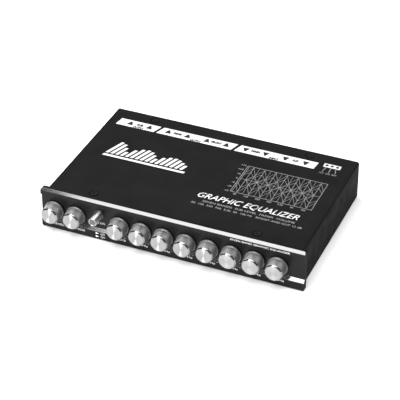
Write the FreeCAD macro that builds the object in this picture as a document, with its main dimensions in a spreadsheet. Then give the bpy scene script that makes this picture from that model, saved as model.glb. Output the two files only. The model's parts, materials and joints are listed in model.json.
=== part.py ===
import FreeCAD, Part
import os
import re
import Sketcher

# A seven-band graphic equalizer for a car, half a DIN slot high.
# Millimetres, +Z up, +X along the faceplate, -Y out of the faceplate towards the user.
# The origin is the centre of the footprint, on the surface that the unit stands on.

DIMENSIONS = {
    # faceplate: a thick extruded bar with a shallow recess between two rails
    "panel_width": 178.0,
    "panel_height": 28.8,
    "panel_depth": 4.4,
    "panel_corner": 0.8,
    "recess_depth": 1.5,
    "recess_low": 8.3,
    "recess_high": 23.9,
    "lower_rail_top": 6.3,
    "upper_rail_low": 24.7,
    "top_bevel_run": 3.2,
    "top_bevel_drop": 1.3,
    "foot_bevel": 0.8,
    # sheet-metal case
    "case_width": 173.14,
    "case_depth": 105.6,
    "case_height": 27.08,
    "sheet_gauge": 1.0,
    "cover_lip": 0.6,
    "cover_bend": 1.5,
    "cover_gap": 0.07,
    "tray_wall_top": 24.0,
    "tab_top": 25.0,
    "tab_reach": 9.0,
    "tab_width": 14.0,
    # cover screws and the dimples they sit in
    "screw_left": -56.4,
    "screw_right": 54.3,
    "front_screw": 6.4,
    "rear_screw": 100.6,
    "dimple_mouth": 3.4,
    "dimple_floor": 2.6,
    "screw_head": 2.2,
    "screw_head_height": 0.9,
    "screw_thread": 1.2,
    "screw_length": 5.5,
    "cross_slot_length": 3.0,
    "cross_slot_width": 0.6,
    "cross_slot_depth": 0.55,
    "thread_hole": 1.25,
    "nut_radius": 2.1,
    "nut_height": 2.5,
    "inner_head_height": 1.5,
    # bracket behind the faceplate that carries the controls
    "bracket_setback": 3.2,
    "bracket_width": 168.0,
    "bracket_flange": 8.0,
    "post_radius": 2.2,
    "post_below": 9.5,
    "post_above": 7.2,
    # row of controls
    "control_first": -79.75,
    "control_pitch": 15.155,
    "control_level": 14.5,
    # turned knobs
    "knob_gap": 0.7,
    "knob_flange": 6.5,
    "knob_flange_depth": 1.2,
    "knob_rear": 6.05,
    "knob_front": 5.72,
    "knob_face": 5.15,
    "knob_reach": 12.2,
    "knob_bore_depth": 6.4,
    "groove_depth": 0.35,
    "shaft_radius": 3.0,
    "press_gap": 0.02,
    "running_gap": 0.06,
    # potentiometers
    "pot_width": 9.0,
    "pot_depth": 7.2,
    "pot_height": 10.5,
    "bushing_radius": 3.5,
    "bushing_reach": 2.6,
    "pot_nut_radius": 4.65,
    "pot_nut_depth": 1.6,
    "pin_radius": 0.4,
    "pin_pitch": 2.5,
    # push button and its switch
    "button_x": -48.6,
    "button_level": 18.8,
    "button_radius": 2.75,
    "button_reach": 12.5,
    "button_face": 2.3,
    "button_flange": 3.5,
    "button_hole": 3.0,
    "button_ring": 3.4,
    "ring_proud": 0.6,
    "stem_radius": 1.4,
    "stem_length": 14.4,
    "stem_tip": 7.9,
    "switch_side": 7.0,
    # circuit boards
    "board_gauge": 1.6,
    "board_low": 4.0,
    "board_front": 16.0,
    "board_rear": 103.0,
    "board_width": 164.0,
    "upright_low": 2.5,
    "upright_high": 23.5,
    "spacer_radius": 3.0,
    "spacer_spread": 78.0,
    "spacer_front": 22.0,
    "spacer_rear": 86.0,
    "header_spread": 36.0,
    "header_length": 32.0,
    "header_depth": 5.5,
    "header_height": 4.0,
    # filter chips and capacitors on the main board
    "chip_first": -64.0,
    "chip_pitch": 26.0,
    "chip_front_row": 34.0,
    "chip_rear_row": 50.0,
    "chip_length": 9.4,
    "chip_width": 6.2,
    "chip_low": 0.4,
    "chip_high": 3.6,
    "leg_row": 8.4,
    "leg_spread": 7.2,
    "leg_high": 2.0,
    "film_first": -69.3,
    "film_pitch": 13.0,
    "film_front_row": 42.0,
    "film_rear_row": 60.0,
    "film_length": 7.4,
    "film_gauge": 2.8,
    "film_height": 6.8,
    "can_first": -70.0,
    "can_row": 78.0,
    "can_radius": 3.2,
    "can_height": 11.5,
    # power supply: ring core, heat sink and regulators
    "core_x": 60.0,
    "core_row": 38.0,
    "core_radius": 6.4,
    "core_gauge": 2.6,
    "sink_left": 74.0,
    "sink_right": 80.0,
    "sink_front": 40.0,
    "sink_rear": 76.0,
    "sink_height": 16.0,
    "fin_pitch": 4.0,
    "fin_gap": 2.0,
    "fin_root": 2.5,
    "regulator_width": 10.0,
    "regulator_depth": 4.5,
    "regulator_height": 15.0,
    "regulator_front_row": 50.0,
    "regulator_rear_row": 66.0,
    # phono sockets at the rear
    "jack_first": -70.2,
    "jack_pitch": 13.89,
    "jack_level": 12.6,
    "jack_reach": 9.0,
    "barrel_radius": 4.15,
    "barrel_wall": 0.7,
    "jack_pin_hole": 1.7,
    "jack_insert_short": 0.8,
    "block_width": 27.2,
    "block_depth": 12.4,
    "block_height": 14.4,
    # power inlet
    "inlet_x": 72.1,
    "inlet_level": 11.0,
    "inlet_width": 16.0,
    "inlet_height": 9.6,
    "inlet_depth": 14.0,
    "inlet_proud": 2.0,
    "inlet_wall": 1.2,
    "inlet_cavity": 11.0,
    "blade_reach": 4.5,
    "blade_pitch": 4.2,
}

# Distances along Y are counted from the faceplate's back plane, which lies here.
PANEL_BACK = "(button_reach - case_depth - jack_reach) / 2"

# Controls from left to right. The push button takes the third place in the row.
CONTROL_PLACES = {
    "sub_level": 0,
    "fader": 1,
    "volume": 3,
    "band_1": 4,
    "band_2": 5,
    "band_3": 6,
    "band_4": 7,
    "band_5": 8,
    "band_6": 9,
    "band_7": 10,
}

doc = FreeCAD.newDocument("equalizer")
sheet = doc.addObject("Spreadsheet::Sheet", "Dim")
for row, (alias, number) in enumerate(DIMENSIONS.items(), start=1):
    sheet.set(f"A{row}", alias)
    sheet.set(f"B{row}", str(number))
    sheet.setAlias(f"B{row}", alias)
doc.recompute()

sub_parts = []


# ---------------------------------------------------------------- expressions and placing

def linked(text):
    """The expression with every dimension's name pointed at its cell in the sheet."""
    def point(match):
        word = match.group(0)
        return f"Dim.{word}" if word in DIMENSIONS else word
    return re.sub(r"[a-z][a-z_]*", point, str(text))


def value(text):
    """The number that an expression gives now."""
    return float(sheet.evalExpression(linked(text)))


def bind(thing, **expressions):
    """Bind properties of an object to expressions of the sheet."""
    for name, text in expressions.items():
        thing.setExpression(name, linked(text))


def place(thing, x, y, z):
    """Bind where an object lies; y is counted from the faceplate's back plane."""
    thing.setExpression("Placement.Base.x", linked(x))
    thing.setExpression("Placement.Base.y", linked(f"{PANEL_BACK} + {y}"))
    thing.setExpression("Placement.Base.z", linked(z))


def keep(thing, label):
    """Name an object and list it as a sub-part of the unit."""
    thing.Label = label
    sub_parts.append(thing)
    return thing


def control_x(place_number):
    return f"(control_first + {place_number} * control_pitch)"


def jack_x(number):
    return f"(jack_first + {number} * jack_pitch)"


# ---------------------------------------------------------------- solids from Part primitives

def box(x_low, x_high, y_low, y_high, z_low, z_high):
    """A box between two corners, each given by three expressions."""
    solid = doc.addObject("Part::Box", "box")
    bind(solid, Length=f"({x_high}) - ({x_low})", Width=f"({y_high}) - ({y_low})",
         Height=f"({z_high}) - ({z_low})")
    place(solid, x_low, y_low, z_low)
    return solid


AIMS = {
    "y": FreeCAD.Rotation(FreeCAD.Vector(1, 0, 0), -90),
    "z": FreeCAD.Rotation(),
}


def rod(radius, length, x, y, z, aim="y"):
    """A cylinder that starts at a point and runs along Y or Z."""
    solid = doc.addObject("Part::Cylinder", "rod")
    solid.Placement = FreeCAD.Placement(FreeCAD.Vector(), AIMS[aim])
    bind(solid, Radius=radius, Height=length)
    place(solid, x, y, z)
    return solid


def hexagon(radius, length, x, y, z):
    """A hexagonal bar along Y."""
    solid = doc.addObject("Part::Prism", "hexagon")
    solid.Placement = FreeCAD.Placement(FreeCAD.Vector(), AIMS["y"])
    solid.Polygon = 6
    bind(solid, Circumradius=radius, Height=length)
    place(solid, x, y, z)
    return solid


def fuse(*solids):
    joined = doc.addObject("Part::MultiFuse", "fuse")
    joined.Shapes = list(solids)
    return joined


def cut(base, *tools):
    """The base with the tools taken away."""
    result = doc.addObject("Part::Cut", "cut")
    result.Base = base
    result.Tool = tools[0] if len(tools) == 1 else group(*tools)
    return result


def group(*solids):
    """Several separate solids held as one object."""
    bunch = doc.addObject("Part::Compound", "group")
    bunch.Links = list(solids)
    return bunch


# ---------------------------------------------------------------- PartDesign bodies

def new_body(label, x="0", y="0", z="0"):
    body = doc.addObject("PartDesign::Body", label)
    place(body, x, y, z)
    return keep(body, label)


def new_sketch(body, plane, name):
    """A sketch on one of the body's own origin planes."""
    sketch = body.newObject("Sketcher::SketchObject", name)
    support = [f for f in body.Origin.OriginFeatures if f.Role == plane][0]
    sketch.AttachmentSupport = (support, [""])
    sketch.MapMode = "FlatFace"
    return sketch


def draw_outline(sketch, corners):
    """A closed outline whose corners are pairs of expressions, each bound to the sheet."""
    first = sketch.GeometryCount
    points = [FreeCAD.Vector(value(a), value(b), 0) for a, b in corners]
    for number, start in enumerate(points):
        end = points[(number + 1) % len(points)]
        sketch.addGeometry(Part.LineSegment(start, end), False)
    for number, (across, up) in enumerate(corners):
        line = first + number
        following = first + (number + 1) % len(corners)
        sketch.addConstraint(Sketcher.Constraint("Coincident", line, 2, following, 1))
        for kind, text, size in (("DistanceX", across, points[number].x),
                                 ("DistanceY", up, points[number].y)):
            index = sketch.addConstraint(Sketcher.Constraint(kind, -1, 1, line, 1, size))
            sketch.setExpression(f"Constraints[{index}]", linked(text))


def draw_circle(sketch, radius, across, up):
    """A circle with its centre and radius bound to the sheet."""
    centre = FreeCAD.Vector(value(across), value(up), 0)
    circle = sketch.addGeometry(
        Part.Circle(centre, FreeCAD.Vector(0, 0, 1), value(radius)), False)
    for kind, text, size in (("DistanceX", across, centre.x), ("DistanceY", up, centre.y)):
        index = sketch.addConstraint(Sketcher.Constraint(kind, -1, 1, circle, 3, size))
        sketch.setExpression(f"Constraints[{index}]", linked(text))
    index = sketch.addConstraint(Sketcher.Constraint("Radius", circle, value(radius)))
    sketch.setExpression(f"Constraints[{index}]", linked(radius))


def revolve(body, corners):
    """Turn an outline of (radius, y) corners about the body's Y axis."""
    sketch = new_sketch(body, "XY_Plane", "turned_outline")
    draw_outline(sketch, corners)
    turned = body.newObject("PartDesign::Revolution", "turned")
    turned.Profile = sketch
    turned.ReferenceAxis = (sketch, ["V_Axis"])
    turned.Angle = 360.0
    return turned


def body_box(body, kind, x_low, x_high, y_low, y_high, z_low, z_high):
    """An additive or subtractive box between two corners in the body's own frame."""
    feature = body.newObject(f"PartDesign::{kind}Box", "block")
    bind(feature, Length=f"({x_high}) - ({x_low})", Width=f"({y_high}) - ({y_low})",
         Height=f"({z_high}) - ({z_low})")
    feature.setExpression("Placement.Base.x", linked(x_low))
    feature.setExpression("Placement.Base.y", linked(y_low))
    feature.setExpression("Placement.Base.z", linked(z_low))
    return feature


def body_rod(body, kind, radius, length, x, y, z, aim):
    """An additive or subtractive cylinder in the body's own frame."""
    feature = body.newObject(f"PartDesign::{kind}Cylinder", "round")
    feature.Placement = FreeCAD.Placement(FreeCAD.Vector(), AIMS[aim])
    bind(feature, Radius=radius, Height=length)
    feature.setExpression("Placement.Base.x", linked(x))
    feature.setExpression("Placement.Base.y", linked(y))
    feature.setExpression("Placement.Base.z", linked(z))
    return feature


def body_cone(body, kind, low_radius, high_radius, z_low, z_high, x, y):
    """An additive or subtractive cone along Z in the body's own frame."""
    feature = body.newObject(f"PartDesign::{kind}Cone", "cone")
    bind(feature, Radius1=low_radius, Radius2=high_radius, Height=f"({z_high}) - ({z_low})")
    feature.setExpression("Placement.Base.x", linked(x))
    feature.setExpression("Placement.Base.y", linked(y))
    feature.setExpression("Placement.Base.z", linked(z_low))
    return feature


# ---------------------------------------------------------------- enclosure

SCREW_COLUMNS = ("screw_left", "screw_right")
SCREW_PLACES = [
    (side, along)
    for side in SCREW_COLUMNS
    for along in ("front_screw", "rear_screw")
]
DIMPLE_TOP = "tab_top + sheet_gauge"


def make_front_panel():
    """The extruded faceplate, its holes and its clipped corners."""
    body = new_body("front_panel")
    section = new_sketch(body, "YZ_Plane", "section")
    front = "-panel_depth"
    recess = "-(panel_depth - recess_depth)"
    draw_outline(section, [
        ("0", "0"),
        ("0", "panel_height"),
        ("-(panel_depth - top_bevel_run)", "panel_height"),
        (front, "panel_height - top_bevel_drop"),
        (front, "upper_rail_low"),
        (recess, "recess_high"),
        (recess, "recess_low"),
        (front, "lower_rail_top"),
        (front, "foot_bevel"),
        (f"{front} + foot_bevel", "0"),
    ])
    bar = body.newObject("PartDesign::Pad", "bar")
    bar.Profile = section
    bar.SideType = "Symmetric"
    bind(bar, Length="panel_width")
    doc.recompute()
    whole = bar.Shape.Volume

    openings = new_sketch(body, "XZ_Plane", "openings")
    for number in CONTROL_PLACES.values():
        draw_circle(openings, "bushing_radius + 0.4", control_x(number), "control_level")
    draw_circle(openings, "button_hole", "button_x", "button_level")
    for side in (-1, 1):
        edge = f"{side} * panel_width / 2"
        inner = f"{side} * (panel_width / 2 - panel_corner)"
        draw_outline(openings, [
            (edge, "0"), (inner, "0"), (edge, "panel_corner")])
        draw_outline(openings, [
            (edge, "panel_height"), (inner, "panel_height"), (edge, "panel_height - panel_corner")])
    holes = body.newObject("PartDesign::Pocket", "holes")
    holes.Profile = openings
    holes.Type = "ThroughAll"
    holes.SideType = "Symmetric"
    doc.recompute()
    if holes.Shape.Volume >= whole:
        raise ValueError("the faceplate's holes cut nothing")

    for x in POST_COLUMNS:
        for z in POST_ROWS:
            body_rod(body, "Subtractive", "thread_hole", "panel_depth - recess_depth - 0.8",
                     x, "-(panel_depth - recess_depth - 0.8)", z, "y")
    return body


def make_bottom_tray():
    """Floor and two sides bent from one sheet, with the rear wall and its screw tabs."""
    body = new_body("bottom_tray")
    half = "(case_width / 2 - sheet_gauge - cover_gap)"
    inner = f"({half} - sheet_gauge)"
    section = new_sketch(body, "XZ_Plane", "section")
    draw_outline(section, [
        (f"-{half}", "0"),
        (half, "0"),
        (half, "tray_wall_top"),
        (inner, "tray_wall_top"),
        (inner, "sheet_gauge"),
        (f"-{inner}", "sheet_gauge"),
        (f"-{inner}", "tray_wall_top"),
        (f"-{half}", "tray_wall_top"),
    ])
    channel = body.newObject("PartDesign::Pad", "channel")
    channel.Profile = section
    channel.Reversed = True
    bind(channel, Length="case_depth")
    doc.recompute()
    if channel.Shape.BoundBox.YMin < value(PANEL_BACK) - 1:
        raise ValueError("the tray runs out through the faceplate")

    rear = "case_depth - sheet_gauge"
    body_box(body, "Additive", f"-{half}", half, rear, "case_depth",
             "0", "case_height - sheet_gauge - 0.1")
    for side in SCREW_COLUMNS:
        body_box(body, "Additive", f"{side} - tab_width / 2", f"{side} + tab_width / 2",
                 f"{rear} - tab_reach", rear, "tab_top - sheet_gauge", "tab_top")
        body_rod(body, "Subtractive", "thread_hole + 0.2", "sheet_gauge * 3",
                 side, "rear_screw", "tab_top - sheet_gauge * 2", "z")
    for number in range(10):
        body_rod(body, "Subtractive", "barrel_radius + 0.4", "sheet_gauge * 3",
                 jack_x(number), f"{rear} - sheet_gauge", "jack_level", "y")
    body_box(body, "Subtractive",
             "inlet_x - inlet_width / 2 - 0.1", "inlet_x + inlet_width / 2 + 0.1",
             f"{rear} - sheet_gauge", "case_depth + sheet_gauge",
             "inlet_level - inlet_height / 2 - 0.1", "inlet_level + inlet_height / 2 + 0.1")
    return body


def make_top_cover():
    """Top and side skirts bent from one sheet, with a pressed dimple for each screw."""
    body = new_body("top_cover")
    outer = "case_width / 2"
    inner = "(case_width / 2 - sheet_gauge)"
    under = "(case_height - sheet_gauge)"
    section = new_sketch(body, "XZ_Plane", "section")
    draw_outline(section, [
        (f"-{outer}", "cover_lip"),
        (f"-{inner}", "cover_lip"),
        (f"-{inner}", under),
        (inner, under),
        (inner, "cover_lip"),
        (outer, "cover_lip"),
        (outer, "case_height"),
        (f"-{outer}", "case_height"),
    ])
    folded = body.newObject("PartDesign::Pad", "folded")
    folded.Profile = section
    folded.Reversed = True
    bind(folded, Length="case_depth")
    doc.recompute()

    corners = []
    for number, edge in enumerate(folded.Shape.Edges, start=1):
        middle = edge.BoundBox.Center
        along = edge.BoundBox.YLength > value("case_depth") - 1
        on_side = abs(abs(middle.x) - value(outer)) < 0.01
        on_top = abs(middle.z - value("case_height")) < 0.01
        if along and on_side and on_top:
            corners.append(f"Edge{number}")
    bend = body.newObject("PartDesign::Fillet", "bend")
    bend.Base = (folded, corners)
    bind(bend, Radius="cover_bend")
    doc.recompute()

    for x, y in SCREW_PLACES:
        body_cone(body, "Additive", "dimple_floor + sheet_gauge / 2", "dimple_mouth + sheet_gauge / 2",
                  "tab_top", f"{under} + 0.01", x, y)
        body_cone(body, "Subtractive", "dimple_floor", "dimple_mouth",
                  DIMPLE_TOP, "case_height + 0.001", x, y)
        body_rod(body, "Subtractive", "thread_hole + 0.2", "sheet_gauge * 3",
                 x, y, "tab_top - sheet_gauge", "z")
    return body


def make_cover_screws():
    """Four pan-head screws with a cross recess, sunk in the dimples, and their clinch nuts."""
    screws = []
    nuts = []
    for x, y in SCREW_PLACES:
        head = rod("screw_head", "screw_head_height", x, y, DIMPLE_TOP, "z")
        thread = rod("screw_thread", "screw_length", x, y, f"{DIMPLE_TOP} - screw_length", "z")
        reach = "cross_slot_length / 2"
        half = "cross_slot_width / 2"
        slot_high = f"{DIMPLE_TOP} + screw_head_height + 0.1"
        slot_low = f"{DIMPLE_TOP} + screw_head_height - cross_slot_depth"
        across = box(f"{x} - {reach}", f"{x} + {reach}", f"{y} - {half}", f"{y} + {half}",
                     slot_low, slot_high)
        along = box(f"{x} - {half}", f"{x} + {half}", f"{y} - {reach}", f"{y} + {reach}",
                    slot_low, slot_high)
        screws.append(cut(fuse(head, thread), across, along))
        nut_low = "tab_top - sheet_gauge - nut_height"
        nut = rod("nut_radius", "nut_height", x, y, nut_low, "z")
        nuts.append(cut(nut, rod("thread_hole", "nut_height + 2", x, y, f"{nut_low} - 1", "z")))
    keep(group(*screws), "cover_screws")
    keep(group(*nuts), "cover_nuts")


# ---------------------------------------------------------------- bracket behind the faceplate

# The faceplate's posts stand midway between controls, above and below their nuts.
POST_COLUMNS = [control_x(0.5), control_x(4.5), control_x(9.5)]
POST_ROWS = ["control_level - post_below", "control_level + post_above"]
BRACKET_REAR = "(bracket_setback + sheet_gauge)"


def make_bracket():
    """A steel channel that holds the potentiometers and takes the two front cover screws."""
    half = "bracket_width / 2"
    plate = box(f"-{half}", half, "bracket_setback", BRACKET_REAR, "sheet_gauge", "tab_top")
    foot = box(f"-{half}", half, BRACKET_REAR, f"{BRACKET_REAR} + bracket_flange",
               "sheet_gauge", "sheet_gauge * 2")
    head = box(f"-{half}", half, BRACKET_REAR, f"{BRACKET_REAR} + bracket_flange",
               "tab_top - sheet_gauge", "tab_top")
    start = "bracket_setback - 1"
    through = "sheet_gauge + 2"
    holes = [
        rod("bushing_radius + 0.1", through, control_x(number), start, "control_level")
        for number in CONTROL_PLACES.values()
    ]
    holes.append(rod("stem_radius + 0.6", through, "button_x", start, "button_level"))
    for x in POST_COLUMNS:
        for z in POST_ROWS:
            holes.append(rod("thread_hole + 0.1", through, x, start, z))
    for x in SCREW_COLUMNS:
        holes.append(rod("thread_hole + 0.2", through, x, "front_screw",
                         "tab_top - sheet_gauge - 1", "z"))
    keep(cut(fuse(plate, foot, head), *holes), "control_bracket")


def make_panel_posts():
    """Hollow posts between the faceplate and the bracket, and the screws through them."""
    posts = []
    screws = []
    thread_tip = "-(panel_depth - recess_depth - 1.2)"
    for x in POST_COLUMNS:
        for z in POST_ROWS:
            post = rod("post_radius", "bracket_setback", x, "0", z)
            bore = rod("thread_hole + 0.1", "bracket_setback + 2", x, "-1", z)
            posts.append(cut(post, bore))
            thread = rod("screw_thread", f"{BRACKET_REAR} - ({thread_tip})", x, thread_tip, z)
            head = rod("screw_head - 0.3", "inner_head_height", x, BRACKET_REAR, z)
            screws.append(fuse(thread, head))
    keep(group(*posts), "panel_posts")
    keep(group(*screws), "panel_screws")


# ---------------------------------------------------------------- controls

POT_REAR = f"({BRACKET_REAR} + pot_depth)"


def make_knob(label, number):
    """A turned aluminium knob: rear flange, slight taper, a groove and a bevelled face."""
    body = new_body(label, control_x(number), "0", "control_level")
    rear = "-(panel_depth - recess_depth + knob_gap)"
    bore = "shaft_radius + press_gap"
    front = "-knob_reach"
    revolve(body, [
        (bore, rear),
        ("knob_flange - 0.2", rear),
        ("knob_flange", f"{rear} - 0.2"),
        ("knob_flange", f"{rear} - knob_flange_depth + 0.2"),
        ("knob_flange - 0.2", f"{rear} - knob_flange_depth"),
        ("knob_rear", f"{rear} - knob_flange_depth"),
        ("knob_front", f"{front} + 1.5"),
        ("knob_front - groove_depth", f"{front} + 1.3"),
        ("knob_front - groove_depth", f"{front} + 1.0"),
        ("knob_front", f"{front} + 0.8"),
        ("knob_front", f"{front} + 0.5"),
        ("knob_face", front),
        ("0", f"{front} + 0.1"),
        ("0", f"{rear} - knob_bore_depth"),
        (bore, f"{rear} - knob_bore_depth"),
    ])
    return body


def make_shaft(label, number):
    """The potentiometer's shaft, with a flat where the knob's set face bears."""
    tip = "-(panel_depth - recess_depth + knob_gap + knob_bore_depth - 0.2)"
    end = f"({BRACKET_REAR} + pot_depth - 2.6)"
    shaft = rod("shaft_radius", f"{end} - ({tip})", control_x(number), tip, "control_level")
    flat = box(f"{control_x(number)} - 4", f"{control_x(number)} + 4", f"{tip} - 1", "-1",
               "control_level + shaft_radius - 0.6", "control_level + shaft_radius + 1")
    keep(cut(shaft, flat), label)


def make_pot(label, number):
    """A potentiometer's body and threaded bushing, bored for its shaft."""
    x = control_x(number)
    case = box(f"{x} - pot_width / 2", f"{x} + pot_width / 2", BRACKET_REAR, POT_REAR,
               "control_level - pot_height / 2", "control_level + pot_height / 2")
    bushing = rod("bushing_radius", "bushing_reach + 0.5", x,
                  f"{BRACKET_REAR} - bushing_reach", "control_level")
    bore = rod("shaft_radius + running_gap", "bushing_reach + pot_depth - 1.1", x,
               f"{BRACKET_REAR} - bushing_reach - 1", "control_level")
    keep(cut(fuse(case, bushing), bore), label)


def make_pot_nuts():
    """The nuts that clamp the potentiometers' bushings to the bracket."""
    nuts = []
    for number in CONTROL_PLACES.values():
        start = "bracket_setback - pot_nut_depth"
        nut = hexagon("pot_nut_radius", "pot_nut_depth", control_x(number), start, "control_level")
        bore = rod("bushing_radius + 0.05", "pot_nut_depth + 2", control_x(number),
                   f"{start} - 1", "control_level")
        nuts.append(cut(nut, bore))
    keep(group(*nuts), "pot_nuts")


def terminal_places():
    """Where each potentiometer's three terminals stand on the upright board."""
    return [
        (f"{control_x(number)} + {offset} * pin_pitch", "control_level - pot_height / 2 + 1")
        for number in CONTROL_PLACES.values()
        for offset in (-1, 0, 1)
    ]


def make_pot_terminals():
    """Three terminals from each potentiometer through the upright board."""
    pins = [
        rod("pin_radius", "board_gauge + 1", x, POT_REAR, z)
        for x, z in terminal_places()
    ]
    keep(group(*pins), "pot_terminals")


def make_button():
    """The push button with its bright bezel and dished face, and the ring around its hole."""
    body = new_body("button_sub_on", "button_x", "0", "button_level")
    front = "-button_reach"
    flange_front = "0.2"
    flange_rear = "0.8"
    bore_end = "-(stem_tip + 0.1)"
    revolve(body, [
        ("stem_radius + press_gap", flange_rear),
        ("button_flange", flange_rear),
        ("button_flange", flange_front),
        ("button_radius", flange_front),
        ("button_radius", f"{front} + 1.3"),
        ("button_radius - 0.2", f"{front} + 1.2"),
        ("button_radius - 0.2", f"{front} + 1.0"),
        ("button_radius", f"{front} + 0.9"),
        ("button_radius", f"{front} + 0.2"),
        ("button_radius - 0.2", front),
        ("button_face", front),
        ("button_face - 0.15", f"{front} + 0.3"),
        ("0", f"{front} + 0.45"),
        ("0", bore_end),
        ("stem_radius + press_gap", bore_end),
    ])
    ring_front = "-(panel_depth - recess_depth + ring_proud)"
    ring = rod("button_ring", "ring_proud", "button_x", ring_front, "button_level")
    hole = rod("button_hole", "ring_proud + 2", "button_x", f"{ring_front} - 1", "button_level")
    keep(cut(ring, hole), "button_ring")
    keep(rod("stem_radius", "stem_length", "button_x", "-stem_tip", "button_level"), "button_stem")


def make_switch():
    """The switch's housing, bored for the button's stem and its travel."""
    half = "switch_side / 2"
    case = box(f"button_x - {half}", f"button_x + {half}", BRACKET_REAR, POT_REAR,
               f"button_level - {half}", f"button_level + {half}")
    bore = rod("stem_radius + running_gap", "pot_depth - 1", "button_x",
               f"{BRACKET_REAR} - 1", "button_level")
    keep(cut(case, bore), "switch_body")


# ---------------------------------------------------------------- boards and electronics

BOARD_TOP = "(board_low + board_gauge)"
BOARD_REACH = "board_width / 2"
SPACER_PLACES = [
    (x, y)
    for x in ("-spacer_spread", "0", "spacer_spread")
    for y in ("spacer_front", "spacer_rear")
]


def make_boards():
    """The upright board behind the potentiometers, and the main board on the tray."""
    upright = box("-bracket_width / 2", "bracket_width / 2", POT_REAR, f"{POT_REAR} + board_gauge",
                  "upright_low", "upright_high")
    pin_holes = [
        rod("pin_radius + 0.1", "board_gauge + 2", x, f"{POT_REAR} - 1", z)
        for x, z in terminal_places()
    ]
    keep(cut(upright, *pin_holes), "control_board")

    flat = box(f"-{BOARD_REACH}", BOARD_REACH, "board_front", "board_rear", "board_low", BOARD_TOP)
    screw_holes = [
        rod("thread_hole + 0.1", "board_gauge + 2", x, y, "board_low - 1", "z")
        for x, y in SPACER_PLACES
    ]
    keep(cut(flat, *screw_holes), "main_board")


def make_spacers():
    """Clinched spacers under the main board, and the screws that hold it down."""
    spacers = []
    screws = []
    for x, y in SPACER_PLACES:
        post = rod("spacer_radius", "board_low - sheet_gauge", x, y, "sheet_gauge", "z")
        spacers.append(cut(post, rod("thread_hole", "board_low + 1", x, y, "sheet_gauge + 0.4", "z")))
        thread = rod("screw_thread", f"{BOARD_TOP} - sheet_gauge - 0.6", x, y,
                     "sheet_gauge + 0.6", "z")
        head = rod("screw_head", "inner_head_height", x, y, BOARD_TOP, "z")
        screws.append(fuse(thread, head))
    keep(group(*spacers), "board_spacers")
    keep(group(*screws), "board_screws")


def make_headers():
    """Two right-angle headers between the upright board and the main board."""
    rear_face = f"({POT_REAR} + board_gauge)"
    headers = [
        box(f"{x} - header_length / 2", f"{x} + header_length / 2",
            rear_face, f"{rear_face} + header_depth", BOARD_TOP, f"{BOARD_TOP} + header_height")
        for x in ("-header_spread", "header_spread")
    ]
    keep(group(*headers), "board_headers")


def make_chips():
    """Dual op-amp packages in two rows: a moulded body with a row of legs down each side."""
    chips = []
    for column in range(5):
        x = f"(chip_first + {column} * chip_pitch)"
        for y in ("chip_front_row", "chip_rear_row"):
            moulding = box(f"{x} - chip_length / 2", f"{x} + chip_length / 2",
                           f"{y} - chip_width / 2", f"{y} + chip_width / 2",
                           f"{BOARD_TOP} + chip_low", f"{BOARD_TOP} + chip_high")
            legs = [
                box(f"{x} - leg_row / 2", f"{x} + leg_row / 2",
                    f"{y} + {low}", f"{y} + {high}", BOARD_TOP, f"{BOARD_TOP} + leg_high")
                for low, high in (("-leg_spread / 2", "-chip_width / 2"),
                                  ("chip_width / 2", "leg_spread / 2"))
            ]
            chips.append(fuse(moulding, *legs))
    keep(group(*chips), "filter_chips")


def make_capacitors():
    """Film capacitors beside the chips, and a row of electrolytic cans near the sockets."""
    films = [
        box(f"film_first + {column} * film_pitch - film_length / 2",
            f"film_first + {column} * film_pitch + film_length / 2",
            f"{y} - film_gauge / 2", f"{y} + film_gauge / 2",
            BOARD_TOP, f"{BOARD_TOP} + film_height")
        for column in range(10)
        for y in ("film_front_row", "film_rear_row")
    ]
    keep(group(*films), "film_capacitors")
    cans = [
        rod("can_radius", "can_height", f"can_first + {column} * jack_pitch", "can_row",
            BOARD_TOP, "z")
        for column in range(8)
    ]
    keep(group(*cans), "electrolytic_capacitors")


def make_supply():
    """The power supply's ring core, its two regulators and their heat sink."""
    core = doc.addObject("Part::Torus", "core")
    bind(core, Radius1="core_radius", Radius2="core_gauge")
    place(core, "core_x", "core_row", f"{BOARD_TOP} + core_gauge")
    keep(core, "supply_transformer")

    sink = box("sink_left", "sink_right", "sink_front", "sink_rear",
               BOARD_TOP, f"{BOARD_TOP} + sink_height")
    slots = [
        box("sink_left + fin_root", "sink_right + 1",
            f"sink_front + {number} * fin_pitch + fin_root",
            f"sink_front + {number} * fin_pitch + fin_root + fin_gap",
            f"{BOARD_TOP} + fin_gap", f"{BOARD_TOP} + sink_height + 1")
        for number in range(8)
    ]
    keep(cut(sink, *slots), "heat_sink")
    regulators = [
        box("sink_left - regulator_depth", "sink_left",
            f"{y} - regulator_width / 2", f"{y} + regulator_width / 2",
            BOARD_TOP, f"{BOARD_TOP} + regulator_height")
        for y in ("regulator_front_row", "regulator_rear_row")
    ]
    keep(group(*regulators), "supply_regulators")


# ---------------------------------------------------------------- rear sockets

REAR_INSIDE = "(case_depth - sheet_gauge)"


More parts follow.
